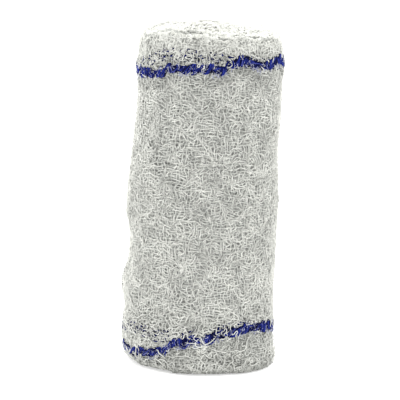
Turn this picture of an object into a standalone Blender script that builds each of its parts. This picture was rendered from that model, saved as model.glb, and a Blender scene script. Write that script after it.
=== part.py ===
"""A crepe bandage wound into a soft roll and stood on its end, as one solid.

The roll is one strip of crepe cloth. Its wall follows the outermost turn, up to the step of the
strip's loose end, and both end faces show the turns of the strip, side by side, as a spiral of
soft ridges with a furrow between each turn and the next. The roll stands on its lower face, whose
ridges are pressed level. Metres, +Z up, origin in the middle of the base.
"""

import math
from typing import NamedTuple

import bmesh
import bpy

MM = 0.001

# The strip: its width is the roll's height, and a turn is as thick as the lightly pressed cloth.
CLOTH_WIDTH = 100 * MM
TURN_THICKNESS = 1.2 * MM
TURNS = 17.25
CORE_RADIUS = 1.2 * MM
LOOSE_END_ANGLE = math.radians(161)  # from +X towards +Y: on the left, a little behind

# How finely the roll is drawn
STEPS_PER_TURN = 48
WALL_SPANS = 22  # from the lower corner to the upper one
LOWER_CORNER_ROWS = (1.2 * MM, 2.2 * MM, 4.0 * MM)  # up from the base
UPPER_CORNER_ROWS = (5.0 * MM, 2.4 * MM)  # down from the top
CREST = (0.55,)  # where a turn's crest lies between its own furrow and the next one
PRESSED_CREST = (0.22, 0.78)  # a crest pressed level is a band, with these two edges

# The end faces
BASE_FURROW = 0.9 * MM
TOP_FURROW = 1.0 * MM
TOP_RIM_DROP = 0.4 * MM  # the outermost turns slump at their upper edge
SLUMP_REACH = 0.12  # share of the radius over which they do
RIM_REACH = 0.1  # the wall follows the rim's waves over this share of its height

# The wall's corners, rounder on the left, where the lower edge is tucked under
LOWER_CORNER_LEFT = 3.6 * MM
LOWER_CORNER_RIGHT = 1.4 * MM
UPPER_CORNER = 2.4 * MM
RIM_CLEARANCE = 0.5 * MM  # the lower rim's height over what the roll stands on

# The lifted corner of the loose end
LIP_HEIGHT = 21 * MM
LIP_REACH = 9 * MM  # up and down from there
LIP_LIFT = 1.5 * MM
LIP_ARC = math.radians(20)


class Level(NamedTuple):
    """How far the wall stands out to the left (-X) and to the right (+X), all in millimetres."""

    height: float
    left: float
    right: float


LEVELS = (
    Level(0, 22.8, 23.5),
    Level(5, 23.6, 23.2),
    Level(10, 24.6, 22.5),
    Level(16, 23.6, 22.6),
    Level(23, 24.4, 22.1),
    Level(35, 22.6, 22.4),
    Level(40, 23.0, 22.4),
    Level(46, 24.3, 22.6),
    Level(55, 24.2, 22.3),
    Level(66, 23.4, 21.5),
    Level(79, 22.5, 22.1),
    Level(85, 22.6, 21.9),
    Level(91, 23.2, 22.5),
    Level(96, 22.4, 21.7),
    Level(100, 21.8, 21.4),
)


class Swell(NamedTuple):
    """One soft wave: how many times it goes round and up, where it starts and how high it is."""

    around: int
    up: float
    start: float
    height: float


SWELL_LOST_AT_SIDES = 0.8  # there the wall keeps close to the table above
WALL_SWELLS = (
    Swell(2, 0.7, 0.4, 0.45 * MM),
    Swell(3, -1.6, 2.1, 0.35 * MM),
    Swell(5, 2.3, 4.0, 0.25 * MM),
    Swell(7, -3.4, 1.2, 0.18 * MM),
)
TOP_SWELLS = (
    Swell(0, 0.25, 0.0, 1.30 * MM),  # the turns stand higher outward
    Swell(0, 0.5, 0.0, 0.70 * MM),  # and highest halfway out
    Swell(1, 0.8, 3.5, 0.30 * MM),
    Swell(2, 1.7, 1.0, 0.25 * MM),
    Swell(5, -2.2, -0.1, 0.45 * MM),
)


def smooth_step(share):
    share = min(max(share, 0.0), 1.0)
    return share * share * (3 - 2 * share)


def swelling(swells, angle, up_share):
    """The sum of the soft waves at an angle and at a share of the way up, or of the way out."""
    return sum(
        s.height * math.sin(s.around * angle + 2 * math.pi * s.up * up_share + s.start)
        for s in swells
    )


def level_at(height):
    """(left, right) reach of the wall at a height, eased between the levels of the table."""
    above = next((i for i, row in enumerate(LEVELS) if row.height * MM > height), len(LEVELS) - 1)
    low, high = LEVELS[max(above - 1, 0)], LEVELS[above]
    share = smooth_step((height / MM - low.height) / max(high.height - low.height, 1e-9))
    left = low.left + (high.left - low.left) * share
    right = low.right + (high.right - low.right) * share
    return left * MM, right * MM


def corner_inset(above_edge, radius):
    """How far a round corner draws the wall in, at this distance from the edge."""
    short = max(radius - above_edge, 0.0)
    return radius - math.sqrt(max(radius * radius - short * short, 0.0))


def lower_corner(angle):
    leftness = 0.5 - 0.5 * math.cos(angle)
    return LOWER_CORNER_RIGHT + (LOWER_CORNER_LEFT - LOWER_CORNER_RIGHT) * leftness


def wall_radius(angle, height):
    """The outermost turn's distance from the axis, before the spiral's own growth."""
    left, right = level_at(height)
    rightness = 0.5 + 0.5 * math.cos(angle)
    at_side = math.cos(angle) ** 2
    radius = left + (right - left) * rightness
    swell = swelling(WALL_SWELLS, angle, height / CLOTH_WIDTH)
    radius += swell * (1 - SWELL_LOST_AT_SIDES * at_side)
    radius -= corner_inset(height, lower_corner(angle))
    radius -= corner_inset(CLOTH_WIDTH - height, UPPER_CORNER)
    return radius


def spiral_radius(turn):
    """Where a turn's inner furrow lies, on a plain spiral."""
    return CORE_RADIUS + TURN_THICKNESS * turn


def lip(turn, height):
    """How far the loose end's corner stands off the roll."""
    before_end = (TURNS + 1 - turn) * 2 * math.pi
    along = 1 - smooth_step(before_end / LIP_ARC)
    upright = 1 - smooth_step(abs(height - LIP_HEIGHT) / LIP_REACH)
    return LIP_LIFT * along * upright


def angle_of(turn):
    return LOOSE_END_ANGLE + 2 * math.pi * (turn - TURNS)


def outer_point(turn, height):
    """A point of the wall, for a turn between the last furrow's start and its end."""
    angle = angle_of(turn)
    missing = spiral_radius(TURNS + 1) - spiral_radius(turn)
    radius = wall_radius(angle, height) - missing + lip(turn, height)
    rim_rise = swelling(TOP_SWELLS, angle, 1.0) - TOP_RIM_DROP
    height += rim_rise * smooth_step((height / CLOTH_WIDTH - 1) / RIM_REACH + 1)
    return radius * math.cos(angle), radius * math.sin(angle), height


def face_point(turn, share, height):
    """A point of an end face at a share of the way from a turn's own furrow to the next one."""
    angle = angle_of(turn)
    nominal = spiral_radius(turn) + TURN_THICKNESS * share
    whole = spiral_radius(TURNS + 1)
    shrink = (wall_radius(angle, height) - TURN_THICKNESS) / (whole - TURN_THICKNESS)
    radius = nominal * shrink
    return radius * math.cos(angle), radius * math.sin(angle), nominal / whole


def base_height(turn, on_crest):
    if on_crest:
        return 0.0
    return BASE_FURROW * smooth_step(turn - 1)


def top_height(turn, outward, on_crest):
    angle = angle_of(turn)
    height = CLOTH_WIDTH + swelling(TOP_SWELLS, angle, outward) * smooth_step(outward * 2)
    height -= TOP_RIM_DROP * smooth_step((outward - 1 + SLUMP_REACH) / SLUMP_REACH)
    if not on_crest:
        height -= TOP_FURROW * smooth_step(turn - 1)
    return height


def wall_heights():
    """The wall's rows, close together at its rounded corners."""
    lower = [RIM_CLEARANCE, *LOWER_CORNER_ROWS]
    upper = [CLOTH_WIDTH - drop for drop in (*UPPER_CORNER_ROWS, UPPER_CORNER / 2)]
    rise = (upper[0] - lower[-1]) / WALL_SPANS
    middle = [lower[-1] + rise * i for i in range(1, WALL_SPANS)]
    return lower + middle + upper


class EndFace:
    """The spiral of one end: furrow and crest lines along the strip, and the disc at its core."""

    def __init__(self, bm, rim_points, facing_up):
        self.bm = bm
        self.up = facing_up
        self.steps = round(TURNS * STEPS_PER_TURN)
        self.furrow = [self.vertex(k, 0.0, False) for k in range(self.steps)] + rim_points
        self.crests = [
            [self.vertex(k, share, True) for k in range(self.steps + 1)]
            for share in (CREST if facing_up else PRESSED_CREST)
        ]

    def vertex(self, step, share, on_crest):
        turn = step / STEPS_PER_TURN
        edge = CLOTH_WIDTH - UPPER_CORNER / 2 if self.up else RIM_CLEARANCE
        x, y, outward = face_point(turn, share, edge)
        z = top_height(turn, outward, on_crest) if self.up else base_height(turn, on_crest)
        return self.bm.verts.new((x, y, z))

    def face(self, *corners):
        self.bm.faces.new(corners if self.up else corners[::-1])

    def fill(self):
        lines = [self.furrow, *self.crests, self.furrow[STEPS_PER_TURN:]]
        for inner, outer in zip(lines, lines[1:]):
            for k in range(self.steps):
                self.face(inner[k], outer[k], outer[k + 1], inner[k + 1])
        self.fill_core()

    def fill_core(self):
        """The disc inside the first turn, and the strip's own inner edge."""
        middle = self.bm.verts.new((0, 0, CLOTH_WIDTH if self.up else 0))
        own_edge = [line[0] for line in reversed(self.crests)]
        ring = [*self.furrow[: STEPS_PER_TURN + 1], *own_edge]
        for here, there in zip(ring, ring[1:] + ring[:1]):
            self.face(middle, here, there)


def wind_roll(bm):
    """Builds the wall row by row and closes it with the two spiral end faces."""
    first_turn = round(TURNS * STEPS_PER_TURN) / STEPS_PER_TURN
    turns = [first_turn + k / STEPS_PER_TURN for k in range(STEPS_PER_TURN + 1)]
    rows = [
        [bm.verts.new(outer_point(turn, height)) for turn in turns] for height in wall_heights()
    ]
    for low, high in zip(rows, rows[1:]):
        for k in range(STEPS_PER_TURN):
            bm.faces.new((low[k], low[k + 1], high[k + 1], high[k]))
    base, top = EndFace(bm, rows[0], False), EndFace(bm, rows[-1], True)
    base.fill()
    top.fill()
    close_loose_end(bm, rows, base.crests, top.crests)


def close_loose_end(bm, rows, base_crests, top_crests):
    """The narrow upright face where the strip ends, from the turn beneath out to its own surface."""
    for low, high in zip(rows, rows[1:]):
        over = [line[-1] for line in top_crests] if high is rows[-1] else []
        under = [line[-1] for line in reversed(base_crests)] if low is rows[0] else []
        bm.faces.new([low[0], high[0], *over, high[-1], low[-1], *under])


def centre_on_base(bm):
    """Moves the roll so that its box is centred on the upright axis."""
    for axis in (0, 1):
        places = [v.co[axis] for v in bm.verts]
        middle = (min(places) + max(places)) / 2
        for v in bm.verts:
            v.co[axis] -= middle


def crepe_material():
    material = bpy.data.materials.new("crepe_cloth")
    material.use_nodes = True
    shader = material.node_tree.nodes["Principled BSDF"]
    shader.inputs["Base Color"].default_value = (0.80, 0.81, 0.78, 1)
    shader.inputs["Roughness"].default_value = 0.95
    shader.inputs["Metallic"].default_value = 0.0
    return material


def build_bandage_roll():
    bm = bmesh.new()
    wind_roll(bm)
    centre_on_base(bm)
    mesh = bpy.data.meshes.new("bandage_roll")
    bm.to_mesh(mesh)
    bm.free()
    mesh.shade_smooth()
    mesh.set_sharp_from_angle(angle=math.radians(50))
    mesh.materials.append(crepe_material())
    roll = bpy.data.objects.new("bandage_roll", mesh)
    bpy.context.scene.collection.objects.link(roll)


def clear_scene():
    for thing in list(bpy.data.objects):
        bpy.data.objects.remove(thing)


clear_scene()
build_bandage_roll()
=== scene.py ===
import math

import bpy
import numpy as np
from mathutils import Matrix, Vector


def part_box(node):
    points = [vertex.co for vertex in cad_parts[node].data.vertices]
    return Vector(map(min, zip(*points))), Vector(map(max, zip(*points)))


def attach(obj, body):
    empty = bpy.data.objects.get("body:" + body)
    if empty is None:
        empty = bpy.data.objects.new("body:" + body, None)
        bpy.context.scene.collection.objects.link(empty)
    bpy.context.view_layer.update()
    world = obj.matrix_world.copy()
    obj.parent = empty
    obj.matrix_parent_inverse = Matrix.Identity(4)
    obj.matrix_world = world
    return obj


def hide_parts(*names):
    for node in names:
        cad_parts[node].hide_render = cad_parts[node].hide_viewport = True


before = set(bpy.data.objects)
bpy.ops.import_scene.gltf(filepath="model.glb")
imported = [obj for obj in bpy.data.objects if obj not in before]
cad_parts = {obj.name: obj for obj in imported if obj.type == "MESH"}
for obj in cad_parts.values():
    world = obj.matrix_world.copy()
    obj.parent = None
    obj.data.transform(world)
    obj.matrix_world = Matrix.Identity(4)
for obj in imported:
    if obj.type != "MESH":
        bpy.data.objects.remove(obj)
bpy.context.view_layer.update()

# A crepe bandage wound into a roll and stood on its end. The cloth is one strip wound in a
# spiral. Over it lie its crinkled yarns: warps up and down, wefts along the strip, loops at the
# woven edges, and the blue threads near both edges.
mm = 0.001
rollName = "bandage_roll"
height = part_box(rollName)[1][2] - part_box(rollName)[0][2]
print("frame: the roll is", round(height / mm, 1), "mm high")


# how the strip is wound

winding = {
    "turns": 17.25,  # before the outermost one
    "pitch": 1.2 * mm,  # from one turn to the next
    "core": 1.2 * mm,  # radius of the first turn
    "clothWidth": 100 * mm,
    "edgeBend": 0.52 * mm,  # radius of the rounded woven edge
    "foot": 0.3 * mm,  # the lowest yarns lie this high
    # the cloth leans inward near its ends: over this height, by this much
    "shoulder": (4 * mm, 0.9 * mm),
    "heel": (2.5 * mm, 0.7 * mm),
    "lean": 1.5,  # how late it leans, as a power
    "fall": 1.5 * mm,  # past its loose end it falls over this way
}
wallSamples = {
    "columns": 180,
    "rows": 120,
    "lowest": 0.6 * mm,
    "highest": 94.5 * mm,
    "castFrom": 100 * mm,  # from the axis
    "seamSteps": 1440,  # round the roll, to find the loose end
    "seamGap": 0.004,  # share of a turn left out next to it
}
seeds = {"wall": 11, "blue": 23, "edges": 37, "strays": 71, "fibres": 53}
draws = {name: np.random.default_rng(seed) for name, seed in seeds.items()}
clothHeight = winding["clothWidth"]
outerTurn = winding["turns"]
circle = 2 * math.pi
frontAngle = -math.pi / 2  # the side seen from the front


def castIn(solid, angle, level):
    # distance from the axis to the solid's wall
    outward = Vector((math.cos(angle), math.sin(angle), 0))
    start = outward * wallSamples["castFrom"] + Vector((0, 0, level))
    hit, place = solid.ray_cast(start, -outward)[:2]
    return math.hypot(place.x, place.y) if hit else 0.0


def findSeam(solid, level):
    # the angle where the loose end's step stands
    steps = wallSamples["seamSteps"]
    angles = np.arange(steps) * circle / steps
    reach = np.array([castIn(solid, a, level) for a in angles])
    return angles[np.argmin(np.roll(reach, -1) - reach)] + math.pi / steps


def measureWall(solid, seam):
    # its radius, by share of the outermost turn and by height
    form = wallSamples
    shares = np.linspace(0, 1, form["columns"])
    levels = np.linspace(form["lowest"], form["highest"], form["rows"])
    angles = seam + circle * np.clip(shares, form["seamGap"], 1 - form["seamGap"])
    return shares, levels, np.array([[castIn(solid, a, z) for z in levels] for a in angles])


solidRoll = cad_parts[rollName]
seamAngle = findSeam(solidRoll, height / 2)
wallShares, wallLevels, wallReach = measureWall(solidRoll, seamAngle)
print("wall: radius", round(wallReach.min() / mm, 1), "to", round(wallReach.max() / mm, 1), "mm")


def smoothStep(share):
    share = np.clip(share, 0, 1)
    return share * share * (3 - 2 * share)


def nearEnds(level):
    # 0 to 1 over the shoulder, and over the heel
    return (smoothStep((level - clothHeight) / winding["shoulder"][0] + 1),
            smoothStep(1 - level / winding["heel"][0]))


def whereIn(values, samples):
    # the sample before each value, and the share of the way to the next
    place = np.clip(values, samples[0], samples[-1]) - samples[0]
    place = place / (samples[-1] - samples[0]) * (len(samples) - 1)
    before = np.minimum(place.astype(int), len(samples) - 2)
    return before, place - before


def wallRadius(share, level):
    # the measured wall, drawn in at both ends
    (c, u), (r, v) = whereIn(share, wallShares), whereIn(level, wallLevels)
    low = wallReach[c, r] * (1 - u) + wallReach[c + 1, r] * u
    high = wallReach[c, r + 1] * (1 - u) + wallReach[c + 1, r + 1] * u
    top, bottom = nearEnds(level)
    lean = winding["lean"]
    drawnIn = top ** lean * winding["shoulder"][1] + bottom ** lean * winding["heel"][1]
    return low * (1 - v) + high * v - drawnIn


roundTurn = circle * float(wallReach.mean())


def turnAngle(turn):
    return seamAngle + circle * (turn - outerTurn)


def plainRadius(turn):
    # of a turn that is round
    return winding["core"] + winding["pitch"] * turn


def turnRadius(turn, level):
    # of the strip's outer face: the wall's, scaled down for the turns inside
    turn, level = np.broadcast_arrays(turn, level)
    share = turn - outerTurn
    share = np.where(share > 0, np.minimum(share, 1), share - np.floor(share))
    return wallRadius(share, level) * plainRadius(turn) / plainRadius(outerTurn + share)


def fallenRadius(turn, level):
    # past the loose end it falls to the turn beneath
    past = np.clip(turn - outerTurn - 1, 0, None)
    fall = smoothStep(past * roundTurn / winding["fall"])
    beneath = turnRadius(outerTurn + past, level)
    return turnRadius(turn, level) * (1 - fall) + beneath * fall


# helpers for yarns and cloth

def anyAngle(draw, size=None):
    return draw.random(size) * circle


def upFrom(draw, size, least, more):
    return least + more * draw.random(size)


def centred(draw, size, width):
    return (draw.random(size) - 0.5) * width


def wander(draw, count, points, step, shortest, longest, waves=14):
    # this many soft random waves along each yarn, together about 1 high
    along = np.arange(points) * step
    length = shortest * (longest / shortest) ** draw.random((count, waves, 1))
    start = anyAngle(draw, (count, waves, 1))
    return np.sin(circle * along / length + start).sum(1) * math.sqrt(2 / waves)


def smoothed(values, reach):
    # running mean along each yarn, over reach points each way
    padded = np.pad(values, ((0, 0), (reach + 1, reach)), mode="edge")
    total = np.cumsum(padded, 1)
    return (total[:, 2 * reach + 1:] - total[:, :-2 * reach - 1]) / (2 * reach + 1)


def meander(draw, count, points, step, restless, shortest, longest, hold):
    # a crinkled yarn turns left and right; hold keeps it near its own line
    turning = wander(draw, count, points, step, shortest, longest) * restless
    forward = np.cumsum(np.cos(turning), 1) * step
    sideways = np.cumsum(np.sin(turning), 1) * step
    sideways -= smoothed(sideways, int(hold / step))
    return forward - forward[:, :1], sideways


def turned(forward, sideways, heading, size=1):
    # paths that set off at these headings
    c, s = np.cos(heading) * size, np.sin(heading) * size
    return forward * c - sideways * s, forward * s + sideways * c


def progressOf(restless):
    # share of its length by which such a yarn gets on
    return math.exp(-restless ** 2 / 2)


def patchyDrift(draw, waves, shortest, longest, amount):
    # soft pushes that move neighbouring yarns together
    length = shortest * (longest / shortest) ** draw.random(waves)
    heading, start = anyAngle(draw, waves), anyAngle(draw, (2, waves))
    kx, ky = (circle / length * f(heading) for f in (np.cos, np.sin))

    def push(x, y):
        phase = x[..., None] * kx + y[..., None] * ky
        size = amount * math.sqrt(2 / waves)
        return tuple(np.sin(phase + s).sum(-1) * size for s in start)

    return push


# corners round a yarn: their turns in degrees, and how pale each one is; the darker flanks are
# painted shade
ridge = ((-95, 0, 95), (0.35, 1, 0.35))
paleRidge = ((-95, 0, 95), (0.7, 1, 0.7))  # at the cloth's edges, with lighter painted shade on the flanks
darkRidge = ((-95, 0, 95), (0.05, 1, 0.05))  # for blue threads, flanks painted nearly black as shade
mapGap = 0.01  # share of a strip of the map left free at its ends
tiny = 1e-12  # keeps a length above nothing
fineSteps = 4000  # places along the strip where it is measured


def unit(ways):
    return ways / (np.linalg.norm(ways, axis=2, keepdims=True) + tiny)


def spinYarns(name, material, groups, spins=ridge):
    # groups of (paths, facings, radii, tones), each with yarns of equal points, become one mesh
    corners, faces, mapPlaces, tones = [], [], [], []
    cells = [path.shape[0] * (path.shape[1] - 1) for path, *_ in groups]
    spins, pale = np.radians(spins[0]), np.array(spins[1])
    sides, base, floorV = len(spins) - 1, 0, 0.0
    for (path, facing, radius, tone), share in zip(groups, np.array(cells) / sum(cells)):
        count, points = path.shape[:2]
        along = unit(np.gradient(path, axis=1))
        aside = unit(np.cross(along, facing))
        outward = np.cross(aside, along)
        around = (np.cos(spins)[:, None] * outward[:, :, None]
                  + np.sin(spins)[:, None] * aside[:, :, None])
        ring = path[:, :, None] + around * radius[:, :, None, None]
        number = base + np.arange(count * points * len(spins)).reshape(count, points, -1)
        base += number.size
        corners.append(ring.reshape(-1, 3))
        # each corner's tone is scaled by its paleness: painted shade on the flanks
        tones.append((tone[..., None] * pale).ravel())
        here, there = number[:, :-1], number[:, 1:]
        faces.append(np.stack([here[..., :-1], here[..., 1:], there[..., 1:], there[..., :-1]],
                              -1).reshape(-1, 4))
        columns = max(1, round(math.sqrt(count * sides * share / (points - 1))))
        rows = math.ceil(count / columns)
        yarn = np.arange(count)[:, None, None]
        wide = (1 - 2 * mapGap) / (points - 1)
        left = yarn % columns + mapGap + wide * np.arange(points - 1)[:, None]
        right = left + wide
        low = (yarn // columns * sides + np.arange(sides)) / (rows * sides)
        high = low + 1 / (rows * sides)
        left, right, low, high = np.broadcast_arrays(left / columns, right / columns, low, high)
        low, high = floorV + low * share, floorV + high * share
        mapPlaces.append(np.stack([left, low, left, high, right, high, right, low],
                                  -1).reshape(-1, 4, 2))
        floorV += share
    return makePiece(name, material, *map(np.concatenate, (corners, faces, mapPlaces, tones)))


def addToScene(name, data):
    made = bpy.data.objects.new(name, data)
    bpy.context.scene.collection.objects.link(made)
    return made


def makePiece(name, material, corners, faces, mapPlaces, tones):
    mesh = bpy.data.meshes.new(name)
    mesh.vertices.add(len(corners))
    mesh.loops.add(faces.size)
    mesh.polygons.add(len(faces))
    for part, key, values, kind in (
            (mesh.vertices, "co", corners, np.float32),
            (mesh.loops, "vertex_index", faces, np.int32),
            (mesh.polygons, "loop_start", np.arange(0, faces.size, 4), np.int32),
            (mesh.polygons, "use_smooth", np.ones(len(faces)), bool)):
        part.foreach_set(key, values.astype(kind).ravel())
    places = mesh.uv_layers.new(name="OFBake")
    places.uv.foreach_set("vector", mapPlaces.astype(np.float32).ravel())
    own = mesh.attributes.new("tone", "FLOAT", "POINT")
    own.data.foreach_set("value", tones.astype(np.float32))
    mesh.update(calc_edges=True)
    mesh.validate()
    mesh.materials.append(material)
    piece = addToScene(name, mesh)
    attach(piece, "root")
    print(name + ":", len(faces) * 2, "triangles")
    return piece


# the woven edges

edgeForm = {
    "drop": 0.4 * mm,  # the outermost turns slump by this much
    "dropReach": 0.12,  # share of the radius over which they do
    # waves of the edge: times round, times outward, start, height
    "waves": [(0, 0.25, 0, 1.3 * mm), (0, 0.5, 0, 0.7 * mm), (1, 0.8, 3.5, 0.3 * mm),
              (2, 1.7, 1.0, 0.25 * mm), (5, -2.2, -0.1, 0.45 * mm)],
    # the upper edge is in soft shade round this spot
    "shade": {"x": -8 * mm, "y": -12 * mm, "wide": 15 * mm, "deep": 5 * mm, "depth": 1.6},
    # short waves of the outermost rim: height, turns back to where they begin, and each wave's
    # times round, start and share
    "rimWave": (0.3 * mm, 0.4, [(11, 1, 1), (26, 2, 0.6)]),
    # the lower edge lifts off the floor here and there: by how much, and waves as above
    "footWave": (0.5 * mm, [(3, 1.3, 1), (8, 0, 0.7), (19, 2, 0.5)]),
    # short waves of each turn's own edge: height, and two rates and starts
    "crinkle": (0.35 * mm, (61.3, 0), (23.7, 1)),
}


def bearingOf(angle):
    # degrees from the front, positive to the right
    turned = np.degrees(angle - frontAngle)
    return (turned + 180) % 360 - 180


def sumWaves(angle, waves):
    return sum(share * np.sin(times * angle + start) for times, start, share in waves)


def edgeCrest(turn):
    # height of the strip's upper edge
    turn = np.asarray(turn, dtype=float)
    angle = turnAngle(turn)
    outward = plainRadius(turn) / plainRadius(outerTurn + 1)
    rise = sum(h * np.sin(n * angle + circle * k * outward + s)
               for n, k, s, h in edgeForm["waves"])
    crest = clothHeight + rise * smoothStep(outward * 2)
    reach = edgeForm["dropReach"]
    crest -= edgeForm["drop"] * smoothStep((outward - 1 + reach) / reach)
    tall, back, waves = edgeForm["rimWave"]
    crest += tall * sumWaves(angle, waves) * smoothStep(turn - outerTurn + back)
    tall, (fast, fastStart), (slow, slowStart) = edgeForm["crinkle"]
    crest += tall * np.sin(turn * fast + fastStart) * np.sin(turn * slow + slowStart)
    return crest


def edgeShade(turn):
    # how much darker the upper edge is
    shade = edgeForm["shade"]
    x = plainRadius(turn) * np.cos(turnAngle(turn))
    y = plainRadius(turn) * np.sin(turnAngle(turn))
    aside = ((x - shade["x"]) / shade["wide"]) ** 2 + ((y - shade["y"]) / shade["deep"]) ** 2
    return shade["depth"] * np.exp(-aside)


def edgeFoot(turn):
    # height of the strip's lower edge
    angle = turnAngle(np.asarray(turn, dtype=float))
    tall, waves = edgeForm["footWave"]
    return winding["foot"] + tall * smoothStep(sumWaves(angle, waves) / 2)


def roundAxis(angle, radius, level):
    return np.stack([np.cos(angle) * radius, np.sin(angle) * radius, level], -1)


def facingOut(angle, tilt):
    # tilted up from the outward direction
    return roundAxis(angle, np.cos(tilt), np.sin(tilt))


def layOnWall(turn, up, lift):
    # a place up the cloth and over its rounded upper edge
    bend, foot = winding["edgeBend"], edgeFoot(turn)
    angle = turnAngle(turn)
    brow = edgeCrest(turn) - bend
    tilt = np.clip((up - brow) / bend, 0, math.pi)
    sunk = np.clip(up - brow - math.pi * bend, 0, None)
    level = np.minimum(up, brow) - sunk
    tucked = np.clip(foot - level, 0, None)
    level = np.maximum(level, foot)
    radius = fallenRadius(turn, level) - bend - tucked + (bend + lift) * np.cos(tilt)
    level = level + (bend + lift) * np.sin(tilt)
    return roundAxis(angle, radius, level), facingOut(angle, tilt)


def layOnEdge(turn, over, lift, upper):
    # a place on a rounded edge; over is the way across it, outward
    bend = winding["edgeBend"]
    angle = turnAngle(turn)
    tilt = np.clip(over / bend, -math.pi / 2, math.pi / 2)
    sunk = np.clip(np.abs(over) - math.pi / 2 * bend, 0, None)
    if upper:
        level = edgeCrest(turn) - bend - sunk + (bend + lift) * np.cos(tilt)
    else:
        level = edgeFoot(turn) + bend + sunk - (bend + np.minimum(lift, 0)) * np.cos(tilt)
    radius = turnRadius(turn, level) - winding["pitch"] / 2 + (bend + lift) * np.sin(tilt)
    rising = math.pi / 2 - tilt
    return roundAxis(angle, radius, level), facingOut(angle, rising if upper else -rising)


# finishes

class Value:
    # a socket that can be used in a sum
    def __init__(self, finish, socket):
        self.finish, self.socket = finish, socket

    def join(self, operation, first, second):
        return self.finish.node("ShaderNodeMath", {"operation": operation}, {0: first, 1: second})

    def __add__(self, other):
        return self.join("ADD", self, other)

    def __sub__(self, other):
        return self.join("SUBTRACT", self, other)

    def __rsub__(self, other):
        return self.join("SUBTRACT", other, self)

    def __mul__(self, other):
        return self.join("MULTIPLY", self, other)

    __radd__ = __add__
    __rmul__ = __mul__


class Finish:
    # a material and its nodes
    def __init__(self, name):
        self.material = bpy.data.materials.new(name)
        self.material.use_nodes = True
        self.tree = self.material.node_tree
        self.shader = self.tree.nodes["Principled BSDF"]

    def node(self, kind, settings, sockets, output=0):
        made = self.tree.nodes.new(kind)
        for key, setting in settings.items():
            setattr(made, key, setting)
        for key, given in sockets.items():
            self.feed(made.inputs[key], given)
        return Value(self, made.outputs[output])

    def feed(self, socket, given):
        if isinstance(given, Value):
            self.tree.links.new(given.socket, socket)
        else:
            socket.default_value = given

    def noise(self, size, detail):
        # features of about this size in metres
        place = self.node("ShaderNodeTexCoord", {}, {}, "Object")
        sockets = {"Vector": place, "Scale": 1 / size, "Detail": detail}
        return self.node("ShaderNodeTexNoise", {}, sockets, "Fac")

    def mix(self, share, *colours):
        first, second = (c if isinstance(c, Value) else (*c, 1) for c in colours)
        sockets = {0: share, 6: first, 7: second}
        return self.node("ShaderNodeMix", {"data_type": "RGBA"}, sockets, 2)

    def paint(self, sockets):
        for name, given in sockets.items():
            self.feed(self.shader.inputs[name], given)
        return self.material


yarnFinish = {
    "pale": (0.97, 0.97, 0.95),  # at the upper edge: painted light from above
    "light": (0.80, 0.805, 0.755),
    "shade": (0.335, 0.341, 0.32),
    "patches": (5 * mm, 1.1),  # their size and how much they count
    "fibres": (0.25 * mm, 0.35, 0.08 * mm),  # the same of their grain, and its depth
}
blueFinish = {
    "pale": (0.50, 0.52, 0.64),  # where a thread's fluff catches the light
    "light": (0.018, 0.030, 0.235),
    "shade": (0.0005, 0.001, 0.016),
    "patches": (1.2 * mm, 0.9),
    "fibres": (0.25 * mm, 0.35, 0.08 * mm),
}
# the cloth under the yarns is darker than they are: painted shade in the gaps between them
clothFinish = {
    "light": (0.74, 0.75, 0.715),
    "shade": (0.24, 0.246, 0.228),
    "patches": (3 * mm, 0.8),
    "fibres": (0.5 * mm, 1.4, 0.25 * mm),
}
cottonFinish = {
    "patchDetail": 3,
    "fibreDetail": 2,
    "paleFrom": 1.3,  # the pale colour comes in above this tone
    "roughness": (0.86, 0.12),  # the least, and what fibres add
    "bump": 0.5,
    "shine": 0.12,
}


def threadMaterial(name, look):
    # paler where the cloth's own tone is high
    cotton, finish = cottonFinish, Finish(name)
    (patch, byPatch), (fibre, byFibre, relief) = look["patches"], look["fibres"]
    patches = finish.noise(patch, cotton["patchDetail"])
    fibres = finish.noise(fibre, cotton["fibreDetail"])
    own = finish.node("ShaderNodeAttribute", {"attribute_name": "tone"}, {}, "Fac")
    tone = own + (patches - 0.5) * byPatch + (fibres - 0.5) * byFibre
    colour = finish.mix(tone, look["shade"], look["light"])
    if "pale" in look:
        colour = finish.mix(tone - cotton["paleFrom"], colour, look["pale"])
    smooth, rougher = cotton["roughness"]
    bump = {"Height": fibres, "Strength": cotton["bump"], "Distance": relief}
    return finish.paint({
        "Base Color": colour, "Roughness": smooth + rougher * fibres,
        "Normal": finish.node("ShaderNodeBump", {}, bump), "Specular IOR Level": cotton["shine"]})


cottonYarn = threadMaterial("cottonYarn", yarnFinish)
blueYarn = threadMaterial("blueYarn", blueFinish)
groundCloth = threadMaterial("groundCloth", clothFinish)
print("finishes: yarn, blue yarn and cloth")


# the wound strip

stripForm = {
    "columnsPerTurn": 72,
    "sunk": 0.6 * mm,  # the cloth lies this far under the wall's outer face
    "sunkEdge": 0.4 * mm,  # and this far under the loops at its upper edge
    # rows up the cloth in mm, closer near both edges and few where nothing shows
    "rows": [0.5, 2, 5, 10, 30, 50, 70, 90, 95, 97, 98.7],
    "outerRows": [0.5, 1.2, 2, 3.5, 5, 7.5, 10, 14, 18, 22, 26, 30, 35, 40, 45, 50, 55, 60, 65,
                  70, 75, 80, 84, 88, 91, 94, 96.5, 98.5],
    "tones": (0.32, 1.3, 3 * mm),  # of its wall, painted shade, what its upper edge adds, painted light, and over what height
    # shares of the map for the turns inside and for the outermost one
    "innerMap": (0.35, 1),
    "outerMap": (0, 0.345),
    "bandsPerTurn": 0.9,  # lengths that lie one over another on the map
    "bandGap": 0.02,
    "joinGap": 0.001,
}


def stripLength():
    turns = np.linspace(1, outerTurn + 1, fineSteps)
    radius = turnRadius(turns, np.full(turns.shape, height / 2)) - stripForm["sunk"]
    return float(radius.mean() * (turns[-1] - turns[0]) * circle)


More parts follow.
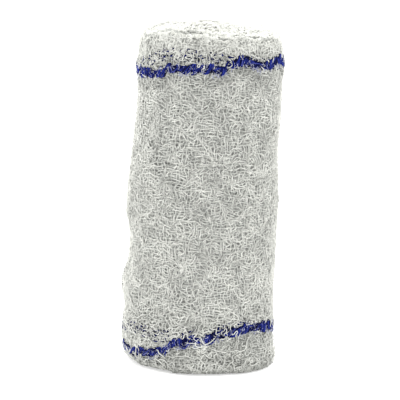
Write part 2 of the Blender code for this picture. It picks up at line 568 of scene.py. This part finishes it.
def stripPart(first, last, rows, mapShare):
    # part of the strip, laid out on its share of the map
    form = stripForm
    columns = round((last - first) * form["columnsPerTurn"]) + 1
    turns = np.linspace(first, last, columns)[:, None]
    rows = np.array(rows) * mm
    crest = edgeCrest(turns)
    level = rows + (crest - clothHeight) * smoothStep(rows / rows[-1] * 2 - 1)
    level = np.concatenate([level, crest - form["sunkEdge"]], 1)
    radius = turnRadius(turns, level) - form["sunk"]
    corners = roundAxis(turnAngle(turns), radius, level)
    count = level.shape[1]
    number = np.arange(columns * count).reshape(columns, count)
    faces = np.stack([number[:-1, :-1], number[1:, :-1], number[1:, 1:], number[:-1, 1:]], -1)
    bands = max(1, round((last - first) * form["bandsPerTurn"]))
    perBand = math.ceil((columns - 1) / bands)
    k = np.arange(columns - 1)[:, None]
    left, band = k % perBand / perBand, k // perBand
    tall = (1 - 2 * form["bandGap"]) / (count - 1)
    low = (band + form["bandGap"] + tall * np.arange(count - 1)) / bands
    high = low + tall / bands
    left, low = np.broadcast_arrays(left, low)
    right = left + (1 - form["joinGap"]) / perBand
    leftMost, rightMost = mapShare
    left, right = (leftMost + side * (rightMost - leftMost) for side in (left, right))
    places = np.stack([left, low, right, low, right, high, left, high], -1)
    return corners.reshape(-1, 3), faces.reshape(-1, 4), places.reshape(-1, 4, 2)


def windStrip():
    start, end = outerTurn, outerTurn + 1
    inner = stripPart(1, start, stripForm["rows"], stripForm["innerMap"])
    outer = stripPart(start, end, stripForm["outerRows"], stripForm["outerMap"])
    parts = [inner, (outer[0], outer[1] + len(inner[0]), outer[2])]
    corners, faces, places = map(np.concatenate, zip(*parts))
    tone, paler, tall = stripForm["tones"]
    tones = tone + paler * smoothStep((corners[:, 2] - clothHeight) / tall + 1)
    return makePiece("woundCloth", groundCloth, corners, faces, places, tones)


woundCloth = windStrip()
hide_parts(rollName)


# where the blue stripes run

stripes = {
    # heights of the threads' lines in mm, by bearing from the front
    "columns": ("bearing", "top", "bottom", "topUnder", "bottomUnder"),
    "rows": [
        (-180, 91.5, 9, 92, 9.5),
        (-140, 90, 7, 91, 8.5),
        (-100, 88.8, 5, 89.5, 9.5),
        (-80, 88.8, 4.6, 90, 11),
        (-60, 89.4, 4.6, 92.5, 11.8),
        (-45, 89.6, 5.4, 94.4, 12),
        (-38, 90, 5.6, 95.2, 11.8),
        (-32, 91.8, 6.1, 95.7, 11.5),
        (-24, 91.9, 7.2, 95.9, 11.5),
        (-15, 92, 9.9, 96, 11.5),
        (0, 92.6, 10.8, 95.7, 12.3),
        (8, 92.4, 11.4, 95.3, 12.8),
        (16, 93.3, 12.7, 94.9, 13.6),
        (24, 95.4, 13.2, 94.8, 14.5),
        (31, 94.8, 13.5, 94.6, 14.5),
        (38, 93.4, 13.8, 94.2, 14.5),
        (46, 93.4, 14, 93.9, 14.4),
        (56, 93.9, 13.9, 93.5, 14),
        (69, 94.4, 13.3, 93.2, 13.4),
        (84, 93.2, 12.2, 93, 12.4),
        (120, 92, 11, 92, 11),
    ],
    # threads: how many, height of their band, lift, tones of low and high places, the low ones
    # painted shade
    "base": (8, 3 * mm, 0.26 * mm, (-0.4, 0.3)),
    # the blue stripe of the turn beneath, painted darker as shade
    "under": (5, 6.2 * mm, -0.04 * mm, (-0.25, 0.6)),
    "lower": (3, 3.4 * mm, 0.36 * mm, (-0.4, 0.4)),
    "zigzag": (3, 4 * mm, 0.46 * mm, (0, 1.55)),
    "fluff": (440, 4.4 * mm, 0.48 * mm, (2.6, 6)),
    "thickness": 0.4 * mm,
    "ownTone": 0.7,  # how much the strands' tones differ
    # the cloth is darker round each stripe: how much, how far below, how high
    "shade": {"": (0.36, 3.2 * mm, 2 * mm), "Under": (0.2, 0, 2.6 * mm)},
    "fluffForm": {"points": 6, "length": 1.6 * mm, "thickness": 0.15 * mm, "restless": 1,
                  "turnings": (1.2 * mm, 3 * mm, 1.6 * mm), "slant": 2.2, "lifts": 0.3 * mm},
    "zigzagForm": {
        "wave": 2.7 * mm,
        "perWave": 11,  # points
        "steps": (0.25 * mm, 0.4 * mm),  # between points, for its course and its thickness
        "pace": 0.45,  # how much its waves differ in length
        "paceWaves": (3 * mm, 12 * mm, 8),  # shortest, longest, how many
        "start": 6,  # radians
        "phase": 0.15,  # how far its strands come apart
        "phaseWaves": (3 * mm, 9 * mm, 6),
        "height": (0.68, 0.32),  # of the band, and how much that varies
        "heightWaves": (4 * mm, 15 * mm, 8),
        "rise": 0.12 * mm,
        "riseWaves": (1.5 * mm, 5 * mm, 8),
        "lean": 0.35,  # its strokes slant by this share of their height
        "strandsApart": 1.15,  # as a share of their thickness
    },
    # and the other threads
    "step": 0.42 * mm,
    "restless": 1.2,
    "turnings": (1.8 * mm, 4 * mm, 2.5 * mm),
    "bandShare": 0.75,  # their lines keep to this share of the band
    "rise": 0.14 * mm,
    "riseWaves": (2 * mm, 5 * mm, 8),
    "middleTone": 0.4,
    "scallop": (0.16 * mm, 400, (5 * mm, 12 * mm, 6)),  # of the whole stripe: height, points, waves
}


def stripeLine(column, bearing):
    table = np.array(stripes["rows"], dtype=float)
    known, heights = table[:, 0], table[:, stripes["columns"].index(column)]
    known = np.concatenate([known, known[:1] + 360])
    heights = np.concatenate([heights, heights[:1]])
    row = np.clip(np.searchsorted(known, bearing, side="right") - 1, 0, len(known) - 2)
    share = smoothStep((bearing - known[row]) / (known[row + 1] - known[row]))
    return (heights[row] + (heights[row + 1] - heights[row]) * share) * mm


# yarns of the outermost turn

wallYarns = {
    # two layers, this turn's and the one's beneath; the darker tones beneath are painted shade
    "layers": {
        "Above": {"warps": 150, "wefts": 124, "thickness": 0.235 * mm, "lift": 0.2 * mm,
                  "tones": (0.42, 1.02), "step": 0.45 * mm},
        "Beneath": {"warps": 100, "wefts": 84, "thickness": 0.35 * mm, "lift": -0.18 * mm,
                    "tones": (0.38, 0.8), "step": 0.6 * mm},
    },
    "warpRestless": 0.75,  # how sharply a yarn turns, in radians
    "weftRestless": 0.62,
    "turnings": (1.6 * mm, 5.5 * mm, 2 * mm),  # shortest, longest, and how it is held
    "rise": 0.15 * mm,  # how far it rises and sinks
    "riseWaves": (2.2 * mm, 8 * mm, 8),
    "topTone": 1.5,  # near the top edge tones draw close to this: painted light from above
    "topShare": 0.65,
    "footShade": ((0.3, 9 * mm), (0.45, 2.6 * mm)),  # darker by this much over this height
    "paleBand": (0.09, 31 * mm, 10 * mm),  # painted light: paler by this much round this height
    # waves that push neighbours together: how many, shortest, longest, how far
    "drift": (18, 4 * mm, 14 * mm, 0.3 * mm),
    "calm": (0.2, 1.4),  # calm patches turn by the first share, lively ones by the second
    "patch": (8 * mm, 0.6),  # their size, and the least share of it
    "smoothShare": 0.06,  # of the yarns run nearly straight, turning by the next share
    "smoothTurn": 0.4,
    "wavesOfCalm": (10, 0.16),  # how many soft waves make the patches, and how strongly
    "overEdge": 0.5 * mm,  # warps run this far over the upper edge
    "underEdge": 1 * mm,  # and start this far under the lower one
    "lowestWeft": 0.4 * mm,
    "weftStart": -3 * mm,  # wefts start this far before the turn
    "looseEnds": 2.2 * mm,  # and end up to this far past the loose end
    "slubs": (3, 0.9 * mm, 0.8),  # thick places on each yarn: how many, length, growth
}
spinning = {
    "uneven": 0.14,  # how much a yarn's thickness varies
    "waves": (3 * mm, 20 * mm, 6),
    "spare": 1.04,  # a yarn is started a little short of what it needs
    "byRise": 0.4,  # how fast it gets paler as it rises: painted light where it rises, painted shade where it sinks
    "offLine": 0.35,  # of the gap between two lines
}
pushWall = patchyDrift(draws["wall"], *wallYarns["drift"])


def thicknessOf(draw, shape, step, thickness):
    waves = wander(draw, *shape, step, *spinning["waves"])
    return thickness / 2 * (1 + spinning["uneven"] * waves)


def plainYarns(place, facing, thickness, tone=1):
    size = np.ones(place.shape[:2])
    return place, facing, size * thickness / 2, size * tone


def pointsFor(length, step, restless):
    # points of a yarn that gets this far
    return int(length / step / progressOf(restless) / spinning["spare"])


def toneOf(rise, low, high, middle=0.5):
    # painted light where a yarn rises, painted shade where it sinks
    return low + (high - low) * smoothStep(middle + spinning["byRise"] * rise)


def spread(draw, count, first, last):
    # evenly spaced lines, each a little off its place
    gap = (last - first) / count
    off = centred(draw, count, spinning["offLine"])
    return (first + gap * (np.arange(count) + 0.5 + off))[:, None]


def calmness(draw, along, up):
    # how lively the yarns are, in soft patches
    form = wallYarns
    level = np.zeros(np.broadcast(along, up).shape)
    (waves, strength), (size, least) = form["wavesOfCalm"], form["patch"]
    for _ in range(waves):
        heading = anyAngle(draw)
        length = size * upFrom(draw, None, least, 1)
        across = along * math.cos(heading) + up * math.sin(heading)
        level += np.sin(circle * (across / length + draw.random()))
    calm, lively = form["calm"]
    return calm + (lively - calm) * smoothStep(0.5 + level * strength)


def slubby(draw, radius, step):
    (slubs, length, growth), (count, points) = wallYarns["slubs"], radius.shape
    place = np.arange(points) * step
    for _ in range(slubs):
        middle = draw.random((count, 1)) * points * step
        swell = np.exp(-((place - middle) / length) ** 2)
        radius = radius * (1 + growth * swell * draw.random((count, 1)))
    return radius


def footShade(up):
    return sum(depth * smoothStep(1 - up / reach) for depth, reach in wallYarns["footShade"])


# painted light: a broad paler band up the wall
def paleBand(up):
    paler, middle, tall = wallYarns["paleBand"]
    return paler * np.exp(-((up - middle) / tall) ** 2)


def stripeShade(along, up):
    bearing = bearingOf(turnAngle(outerTurn + along / roundTurn))
    return sum(depth * np.exp(-((stripeLine(edge + turn, bearing) - up - below) / tall) ** 2)
               for turn, (depth, below, tall) in stripes["shade"].items()
               for edge in ("top", "bottom"))


def yarnsOnWall(draw, kind, layer):
    form = wallYarns
    upright, count, restless = kind == "warp", layer[kind + "s"], form[kind + "Restless"]
    step = layer["step"]
    if upright:
        first, last = -form["underEdge"], clothHeight + form["overEdge"]
        line = spread(draw, count, 0, roundTurn)
    else:
        first, last = form["weftStart"], roundTurn
        line = spread(draw, count, form["lowestWeft"], clothHeight)
    points = pointsFor(last - first, step, restless)
    nominal = np.linspace(first, last, points)
    lively = calmness(draw, line, nominal) if upright else calmness(draw, nominal, line)
    smooth = draw.random((count, 1)) < form["smoothShare"]
    lively = lively * np.where(smooth, form["smoothTurn"], 1)
    forward, sideways = meander(draw, count, points, step, restless * lively, *form["turnings"])
    last = last + (0 if upright else draw.random((count, 1)) * form["looseEnds"])
    forward = first + forward * (last - first) / forward[:, -1:]
    along, up = (line + sideways, forward) if upright else (forward, line + sideways)
    pushed = pushWall(along, up)
    along, up = along + pushed[0], up + pushed[1]
    rise = wander(draw, count, points, step, *form["riseWaves"])
    tone = toneOf(rise, *layer["tones"])
    # painted light near the top edge, where the light from above falls
    tone = tone + (form["topTone"] - tone) * form["topShare"] * nearEnds(up)[0]
    tone = tone + paleBand(up) - footShade(up) - stripeShade(along, up)
    lift = layer["lift"] + rise * form["rise"]
    place, facing = layOnWall(outerTurn + along / roundTurn, up, lift)
    radius = slubby(draw, thicknessOf(draw, rise.shape, step, layer["thickness"]), step)
    return place, facing, radius, tone


for layerName, layer in wallYarns["layers"].items():
    for kind in ("warp", "weft"):
        yarns = yarnsOnWall(draws["wall"], kind, layer)
        spinYarns(kind + "s" + layerName, cottonYarn, [yarns])


# the blue threads

def stripePlaces(draw, column, share, across, lift):
    # places at shares of the turn; across is the way off the stripe's line
    tall, points, waves = stripes["scallop"]
    scallop = wander(draw, 1, points, roundTurn / points, *waves)[0]
    scallop = np.interp(share, np.linspace(0, 1, points), scallop) * tall
    turn = outerTurn + share
    up = stripeLine(column, bearingOf(turnAngle(turn))) + scallop + across
    return layOnWall(turn, up, lift)


def meanderingThreads(draw, column, kind):
    form, (count, tall, lift, tones) = stripes, stripes[kind]
    step, restless = form["step"], form["restless"]
    points = pointsFor(roundTurn, step, restless)
    forward, sideways = meander(draw, count, points, step, restless, *form["turnings"])
    half = (tall - form["thickness"]) / 2
    inner = half * form["bandShare"]
    across = np.tanh((spread(draw, count, -inner, inner) + sideways) / half) * half
    rise = wander(draw, count, points, step, *form["riseWaves"])
    place, facing = stripePlaces(draw, column, forward / forward[:, -1:], across,
                                 lift + rise * form["rise"])
    radius = thicknessOf(draw, rise.shape, step, form["thickness"])
    return place, facing, radius, toneOf(rise, *tones, form["middleTone"])


def zigzagThreads(draw, column, kind):
    # strands run side by side, up and down across the stripe
    form, (count, tall, lift, tones) = stripes["zigzagForm"], stripes[kind]
    thickness, (step, slubStep) = stripes["thickness"], form["steps"]
    points = int(roundTurn / form["wave"] * form["perWave"])

    def waves(name, strands=1):
        return wander(draw, strands, points, step, *form[name])

    forward = np.cumsum(np.exp(form["pace"] * waves("paceWaves")), 1)
    phase = circle * np.arange(points) / form["perWave"] + draw.random() * form["start"]
    phase = phase + form["phase"] * waves("phaseWaves", count)
    least, more = form["height"]
    across = np.sin(phase) * (tall - thickness) / 2 * (least + more * np.tanh(waves("heightWaves")))
    aside = (np.arange(count)[:, None] - count / 2) * thickness * form["strandsApart"]
    share = forward / forward[:, -1:] + (aside + across * form["lean"]) / roundTurn
    rise = waves("riseWaves", count)
    place, facing = stripePlaces(draw, column, np.clip(share, 0, 1), across,
                                 lift + form["rise"] * np.tanh(rise))
    tone = toneOf(rise, *tones) + centred(draw, (count, 1), stripes["ownTone"])
    return place, facing, thicknessOf(draw, rise.shape, slubStep, thickness), tone


def fluffThreads(draw, column, kind):
    # short thin ends over the stripe
    form, (count, tall, lift, (low, high)) = stripes["fluffForm"], stripes[kind]
    points, length, each = form["points"], form["length"], (count, 1)
    paths = meander(draw, count, points, length / (points - 1), form["restless"],
                    *form["turnings"])
    along, across = turned(*paths, math.pi / 2 + centred(draw, each, form["slant"]))
    along = along + draw.random(each) * roundTurn
    across = across - length / 2 + centred(draw, each, tall - length)
    lifts = lift + centred(draw, each, form["lifts"])
    laid = stripePlaces(draw, column, np.clip(along / roundTurn, 0, 1), across, lifts)
    return plainYarns(*laid, form["thickness"], upFrom(draw, each, low, high - low))


blueGroups = [
    lay(draws["blue"], edge + turn, kind) for edge in ("top", "bottom") for lay, turn, kind in (
        (meanderingThreads, "", "base"), (zigzagThreads, "", "lower"),
        (zigzagThreads, "", "zigzag"), (meanderingThreads, "Under", "under"),
        (fluffThreads, "", "fluff"))
]
blueThreads = spinYarns("blueThreads", blueYarn, blueGroups, darkRidge)


# loops at the strip's woven edges

edgeLoops = {
    "every": 0.6 * mm,  # along the strip
    "everyBelow": 1.6 * mm,
    "across": 4.6 * mm,  # a loop's way over the edge
    "restless": 1.0,
    "thickness": 0.38 * mm,
    "step": 0.6 * mm,
    "lift": 0.12 * mm,
    "turnings": (2.4 * mm, 7 * mm, 3 * mm),
    "riseWaves": (2 * mm, 6 * mm, 6),
    # tone on top of the edge, painted light, what it loses between two turns, painted shade, and
    # how far out that begins
    "tone": (1.8, 1.5, 0.75),
    # the lower edge's loops are painted darker, as shade near the floor; riseTone paints light
    # where a loop rises and shade where it sinks
    "toneBelow": 0.35,
    "riseTone": (0.85, 0.3),
    "ends": (0.8, 1.002),  # turns, the second past the outermost one's start
    # yarns along the upper edge: how many, turnings, how far off its middle, pieces on the map
    "runners": (2, (2.4 * mm, 8 * mm, 3 * mm), 1.2 * mm, 60),
}


def turnsEvenly(count):
    # evenly far apart along the strip
    fine = np.linspace(1, outerTurn + 1, fineSteps)
    size = plainRadius(fine)
    length = np.concatenate([[0], np.cumsum((size[1:] + size[:-1]) / 2)])
    return np.interp(np.linspace(0, length[-1], count), length, fine)


def edgeTone(over):
    # painted light on top of the edge and painted shade between two turns
    most, less, start = edgeLoops["tone"]
    return most - less * smoothStep(np.abs(over) / winding["edgeBend"] - start)


def movedAlong(turn, way):
    return turn + way / (circle * plainRadius(turn))


def edgeYarns(draw, upper):
    form = edgeLoops
    step, restless = form["step"], form["restless"]
    progress = progressOf(restless)

    def laid(turn, over, rise):
        place, facing = layOnEdge(turn, over, rise * form["lift"], upper)
        radius = thicknessOf(draw, rise.shape, step, form["thickness"])
        tone = edgeTone(over) - edgeShade(turn) if upper else form["toneBelow"]
        # painted light where a loop rises, painted shade where it sinks
        least, more = form["riseTone"]
        return place, facing, radius, smoothStep(least + more * rise) * tone

    # the loops
    count = int(stripLength() / form["every" if upper else "everyBelow"])
    points = int(form["across"] / step / progress)
    forward, sideways = meander(draw, count, points, step, restless, *form["turnings"])
    over = forward / progress / (points * step) * form["across"]
    over = over - over.mean(1, keepdims=True)
    first, last = form["ends"]
    turn = np.clip(movedAlong(turnsEvenly(count)[:, None], sideways), first, outerTurn + last)
    loops = laid(turn, over, wander(draw, count, points, step, *form["riseWaves"]))
    if not upper:
        return [loops]
    # the runners
    count, turnings, reach, pieces = form["runners"]
    points = int(stripLength() / step / progress)
    forward, sideways = meander(draw, count, points, step, restless, *turnings)
    turn = np.interp(forward / forward[:, -1:], np.linspace(0, 1, fineSteps),
                     turnsEvenly(fineSteps))
    rise = wander(draw, count, points, step, *form["riseWaves"])
    return [loops, cutShort(laid(turn, np.clip(sideways, -reach, reach), rise), pieces)]


def alongOf(bearing):
    # way along the outermost turn to a bearing from the front
    share = (frontAngle + np.radians(bearing) - seamAngle) / circle
    return share % 1 * roundTurn


def cutShort(yarns, pieces):
    # cuts long yarns into equal lengths, so that their strips fit the map
    points = yarns[0].shape[1]
    size = points // pieces
    starts = np.arange(pieces) * size
    pick = np.minimum(starts[:, None] + np.arange(size + 1), points - 1)
    return tuple(part[:, pick].reshape(-1, size + 1, *part.shape[2:]) for part in yarns)


upperLoops = spinYarns("upperLoops", cottonYarn, edgeYarns(draws["edges"], True), paleRidge)
lowerLoops = spinYarns("lowerLoops", cottonYarn, edgeYarns(draws["edges"], False), paleRidge)


# stray yarns

strays = {
    # how many, length, restlessness, thickness, lift, height of its arch
    "kinds": {
        "long": (90, 8 * mm, 0.35, 0.27 * mm, 0.25 * mm, 0.3 * mm),
        "crossing": (70, 2.8 * mm, 0.7, 0.28 * mm, 0.45 * mm, 0.3 * mm),
        "over": (105, 3.6 * mm, 1.4, 0.3 * mm, 0.25 * mm, 0.25 * mm),
        "curl": (720, 2.4 * mm, 1.5, 0.2 * mm, 0.25 * mm, 0.35 * mm),
        "end": (150, 2.6 * mm, 0.6, 0.27 * mm, 0.1 * mm, 0.2 * mm),
        "fringe": (130, 4.2 * mm, 1.0, 0.34 * mm, 0.45 * mm, 0.5 * mm),
        "loop": (160, 7 * mm, 1.6, 0.31 * mm, 0.42 * mm, 0.3 * mm),
    },
    "points": 6,  # and one more for each mm
    # shortest and longest turning: at least this, and this share of the yarn
    "turnings": ((1.6 * mm, 0.45), (5 * mm, 1.3)),
    # the least, and how much more there may be
    "lengths": (0.6, 0.8),
    "arches": (0.5, 1),
    "widths": (0.4, 0.6),  # at the ends, and what the middle adds
    # the least tone, and how much paler an arch's middle gets: painted light where it rises
    "tones": (0.7, 0.5),
    "pastEnds": 0.02,  # of a turn
    "longSlant": 0.6,  # radians, as all slants
    # "upper" is the share on the upper stripe
    "crossingAt": {"bearings": (-180, 360), "upper": 0.5, "within": 4 * mm, "slant": 2.4},
    "overAt": {"bearings": (-75, 87), "upper": 0.6, "within": 3.4 * mm, "offset": 0.3 * mm},
    "curlsInTuft": 8,
    "tuftSize": 0.5 * mm,
    # tufts on the rim are painted paler, as light from above
    "rimTufts": {"share": 0.4, "bearings": (-60, 90), "up": (0.4 * mm, -1.8 * mm), "paler": 0.8},
    "footTufts": {"share": 0.2, "up": (0.8 * mm, 2.5 * mm)},
    "endAt": {"within": 1.5 * mm, "slant": 1.2},
    # this share of the lower edge's fringe hangs here, the rest anywhere
    "fringeAt": {"share": 0.45, "bearing": 12, "spread": 8, "up": (0.4 * mm, 2.5 * mm),
                 "slant": 1.2},
    "loopAt": {"bearings": (-180, 360), "offset": -3 * mm, "spread": 5 * mm, "lowest": 1.5 * mm,
               "paler": 0.2},
}


def strayYarns(draw, kind, along, up, heading, paler=0):
    # short yarns from these places
    count, length, restless, thickness, lift, arch = strays["kinds"][kind]
    form, each = strays, (count, 1)
    points = form["points"] + int(length / mm)
    turnings = (max(least, share * length) for least, share in form["turnings"])
    paths = meander(draw, count, points, length / (points - 1), restless, *turnings, length)
    x, y = turned(*paths, heading[:, None], upFrom(draw, each, *form["lengths"]))
    along, up, past = along[:, None] + x, up[:, None] + y, form["pastEnds"]
    bow = np.sin(math.pi * np.linspace(0, 1, points))
    lift = lift + arch * bow * upFrom(draw, each, *form["arches"])
    turn = outerTurn + np.clip(along / roundTurn, -past, 1 + past)
    place, facing = layOnWall(turn, up, lift)
    (thin, wide), (dim, pale) = form["widths"], form["tones"]
    radius = thickness / 2 * (thin + wide * bow) * np.ones(each)
    # painted light at the arch's middle, painted shade near the foot
    tone = dim + pale * bow * draw.random(each) - footShade(up)
    return place, facing, radius, tone + np.reshape(paler, (-1, 1))


def allStrays(draw):
    amount = {kind: form[0] for kind, form in strays["kinds"].items()}
    anywhere = {kind: (draw.random(count) * roundTurn, draw.random(count) * clothHeight)
                for kind, count in amount.items()}
    groups = []

    def begin(kind):
        return amount[kind], strays[kind + "At"]

    def add(*form):
        groups.append(strayYarns(draw, *form))

    def upright(count, zone):
        return math.pi / 2 + centred(draw, count, zone["slant"])

    def onStripes(zone, bearing, turn):
        pick = draw.random(bearing.size) < zone["upper"]
        line = np.where(pick, *(stripeLine(edge + turn, bearing) for edge in ("top", "bottom")))
        return line + zone.get("offset", 0) + centred(draw, bearing.size, zone["within"])

    count = amount["long"]
    level = centred(draw, count, strays["longSlant"]) + np.round(draw.random(count)) * math.pi
    add("long", *anywhere["long"], level)
    # white yarns over the blue stripes
    count, zone = begin("crossing")
    bearing = upFrom(draw, count, *zone["bearings"])
    up = onStripes(zone, bearing, "")
    add("crossing", alongOf(bearing), up, upright(count, zone))
    # thicker ones over the turn beneath
    count, zone = begin("over")
    bearing = upFrom(draw, count, *zone["bearings"])
    up = onStripes(zone, bearing, "Under")
    add("over", alongOf(bearing), up, anyAngle(draw, count))
    # tufts of tight curls
    count, inTuft = amount["curl"], strays["curlsInTuft"]
    tufts = count // inTuft
    rim, foot, pick = strays["rimTufts"], strays["footTufts"], draw.random(tufts)
    onRim = pick < rim["share"]
    along, up = (places[:tufts] for places in anywhere["curl"])
    along = np.where(onRim, alongOf(upFrom(draw, tufts, *rim["bearings"])), along)
    crest = edgeCrest(outerTurn + along / roundTurn) + upFrom(draw, tufts, *rim["up"])
    up = np.where(onRim, crest, up)
    up = np.where(pick > 1 - foot["share"], upFrom(draw, tufts, *foot["up"]), up)
    along, up = (np.repeat(places, inTuft) + draw.normal(size=count) * strays["tuftSize"]
                 for places in (along, up))
    add("curl", along, up, anyAngle(draw, count), np.repeat(onRim * rim["paler"], inTuft))
    # ends of the wefts at the loose end
    count, zone = begin("end")
    up = clothHeight * (np.arange(count) + draw.random(count)) / count
    along = roundTurn - draw.random(count) * zone["within"]
    add("end", along, up, centred(draw, count, zone["slant"]))
    # a fringe that hangs at the lower edge
    count, zone = begin("fringe")
    bearing = np.where(draw.random(count) < zone["share"],
                       zone["bearing"] + draw.normal(size=count) * zone["spread"],
                       draw.random(count) * 360)
    up = upFrom(draw, count, *zone["up"])
    add("fringe", alongOf(bearing), up, upright(count, zone))
    # loose loops round the lower stripe
    count, zone = begin("loop")
    bearing = upFrom(draw, count, *zone["bearings"])
    up = stripeLine("bottom", bearing) + draw.normal(size=count) * zone["spread"] + zone["offset"]
    add("loop", alongOf(bearing), np.clip(up, zone["lowest"], None), anyAngle(draw, count),
        zone["paler"])
    return groups


strayPiece = spinYarns("strayYarns", cottonYarn, allStrays(draws["strays"]))


# loose fibres

fuzz = {
    "wallHairs": 420,
    "edgeHairs": 700,
    "thickness": 0.09 * mm,
    "length": 3 * mm,
    "lengths": (0.5, 1),  # the least share of it, and how much more
    "points": 8,
    "restless": 0.8,
    "turnings": (2.5 * mm, 9 * mm, 50 * mm),
    "stand": (0.15 * mm, 1.3 * mm),  # at its start, and how much more at its end
    "acrossEdge": 0.4,  # a share, so that they keep to the edge
}


def hairs(draw, count, onEdge):
    points, each = fuzz["points"], (count, 1)
    lengths = upFrom(draw, each, *fuzz["lengths"])
    paths = meander(draw, count, points, fuzz["length"] / (points - 1), fuzz["restless"],
                    *fuzz["turnings"])
    x, y = turned(*paths, anyAngle(draw, each), lengths)
    least, more = fuzz["stand"]
    stand = more * draw.random(each) ** 2 * np.linspace(0, 1, points) + least
    if onEdge:
        turn = movedAlong(turnsEvenly(count)[draw.permutation(count)][:, None], x)
        turn = np.clip(turn, 1, outerTurn + 1)
        laid = layOnEdge(turn, y * fuzz["acrossEdge"], stand, True)
    else:
        along = draw.random(each) * roundTurn + x
        up = draw.random(each) * clothHeight + y
        laid = layOnWall(outerTurn + np.clip(along / roundTurn, 0, 1), up, stand)
    return plainYarns(*laid, fuzz["thickness"])


fibres = [hairs(draws["fibres"], fuzz["wallHairs"], False),
          hairs(draws["fibres"], fuzz["edgeHairs"], True)]
looseFibres = spinYarns("looseFibres", cottonYarn, fibres, paleRidge)

stripLength()
print("strip:", round(stripLength(), 3), "m long")


# floor, light and camera

studio = {
    "floorTones": (0.93, 0.985),  # and how much darker its patches are
    "floorPatch": 0.3,
    "floorSize": 8,
    "floorRoughness": 0.9,
    "floorGlow": 0.45,
    "worldLight": 0.8,
    "overhead": 2.3,  # sunlight from above, spread wide
    "overheadSpread": 80,  # degrees
    # place and watts
    "leftLight": ((-0.8, 0.1, 0.45), 2.3),
    "rightLight": ((0.8, 0.1, 0.45), 1.7),
    "lightSize": 0.5,
    "lightAim": (0, 0, 0.05),
}
white = (1, 1, 1, 1)


def turnTo(way):
    return way.to_track_quat("-Z", "Y")


def layFloor():
    mesh = bpy.data.meshes.new("floor")
    far = studio["floorSize"] / 2
    mesh.from_pydata([(-far, -far, 0), (far, -far, 0), (far, far, 0), (-far, far, 0)], [],
                     [(0, 1, 2, 3)])
    finish = Finish("paleFloor")
    tone, darker = studio["floorTones"]
    patches = finish.noise(studio["floorPatch"], detail=1)
    pale = finish.mix(patches, (tone,) * 3, (tone * darker,) * 3)
    mesh.materials.append(finish.paint({
        "Base Color": pale, "Roughness": studio["floorRoughness"], "Emission Color": white,
        "Emission Strength": studio["floorGlow"]}))
    floor = addToScene("floor", mesh)


def hangLight(name):
    data = bpy.data.lights.new(name, "AREA")
    place, data.energy = studio[name]
    data.shape, data.size = "DISK", studio["lightSize"]
    light = addToScene(name, data)
    light.location = place
    light.rotation_mode = "QUATERNION"
    light.rotation_quaternion = turnTo(Vector(studio["lightAim"]) - Vector(place))


def hangSoftSun():
    data = bpy.data.lights.new("overheadLight", "SUN")
    data.energy, data.angle = studio["overhead"], math.radians(studio["overheadSpread"])
    addToScene("overheadLight", data)


def lightWorld():
    world = bpy.data.worlds.new("studio")
    world.use_nodes = True
    sockets = world.node_tree.nodes["Background"].inputs
    sockets["Color"].default_value = white
    sockets["Strength"].default_value = studio["worldLight"]
    bpy.context.scene.world = world


cameraForm = {
    "distance": 0.9,
    "elevation": 9.8,
    "aim": (-0.72 * mm, 0, 49.5 * mm),
    "lens": 267,
    "sensor": 36,
    "clip": (0.01, 20),
    "lean": 2.6,  # degrees about its own view
}


def placeCamera():
    data = bpy.data.cameras.new("camera")
    data.lens, data.sensor_width = cameraForm["lens"], cameraForm["sensor"]
    data.clip_start, data.clip_end = cameraForm["clip"]
    camera = addToScene("camera", data)
    tilt = math.radians(cameraForm["elevation"])
    back = Vector((0, -math.cos(tilt), math.sin(tilt)))
    lean = Matrix.Rotation(math.radians(cameraForm["lean"]), 4, "Z")
    place = Vector(cameraForm["aim"]) + back * cameraForm["distance"]
    camera.matrix_world = Matrix.Translation(place) @ turnTo(-back).to_matrix().to_4x4() @ lean
    bpy.context.scene.camera = camera


layFloor()
lightWorld()
hangSoftSun()
hangLight("leftLight")
hangLight("rightLight")
placeCamera()
bpy.context.scene.view_settings.view_transform = "Standard"
print("studio: floor, lights and camera")
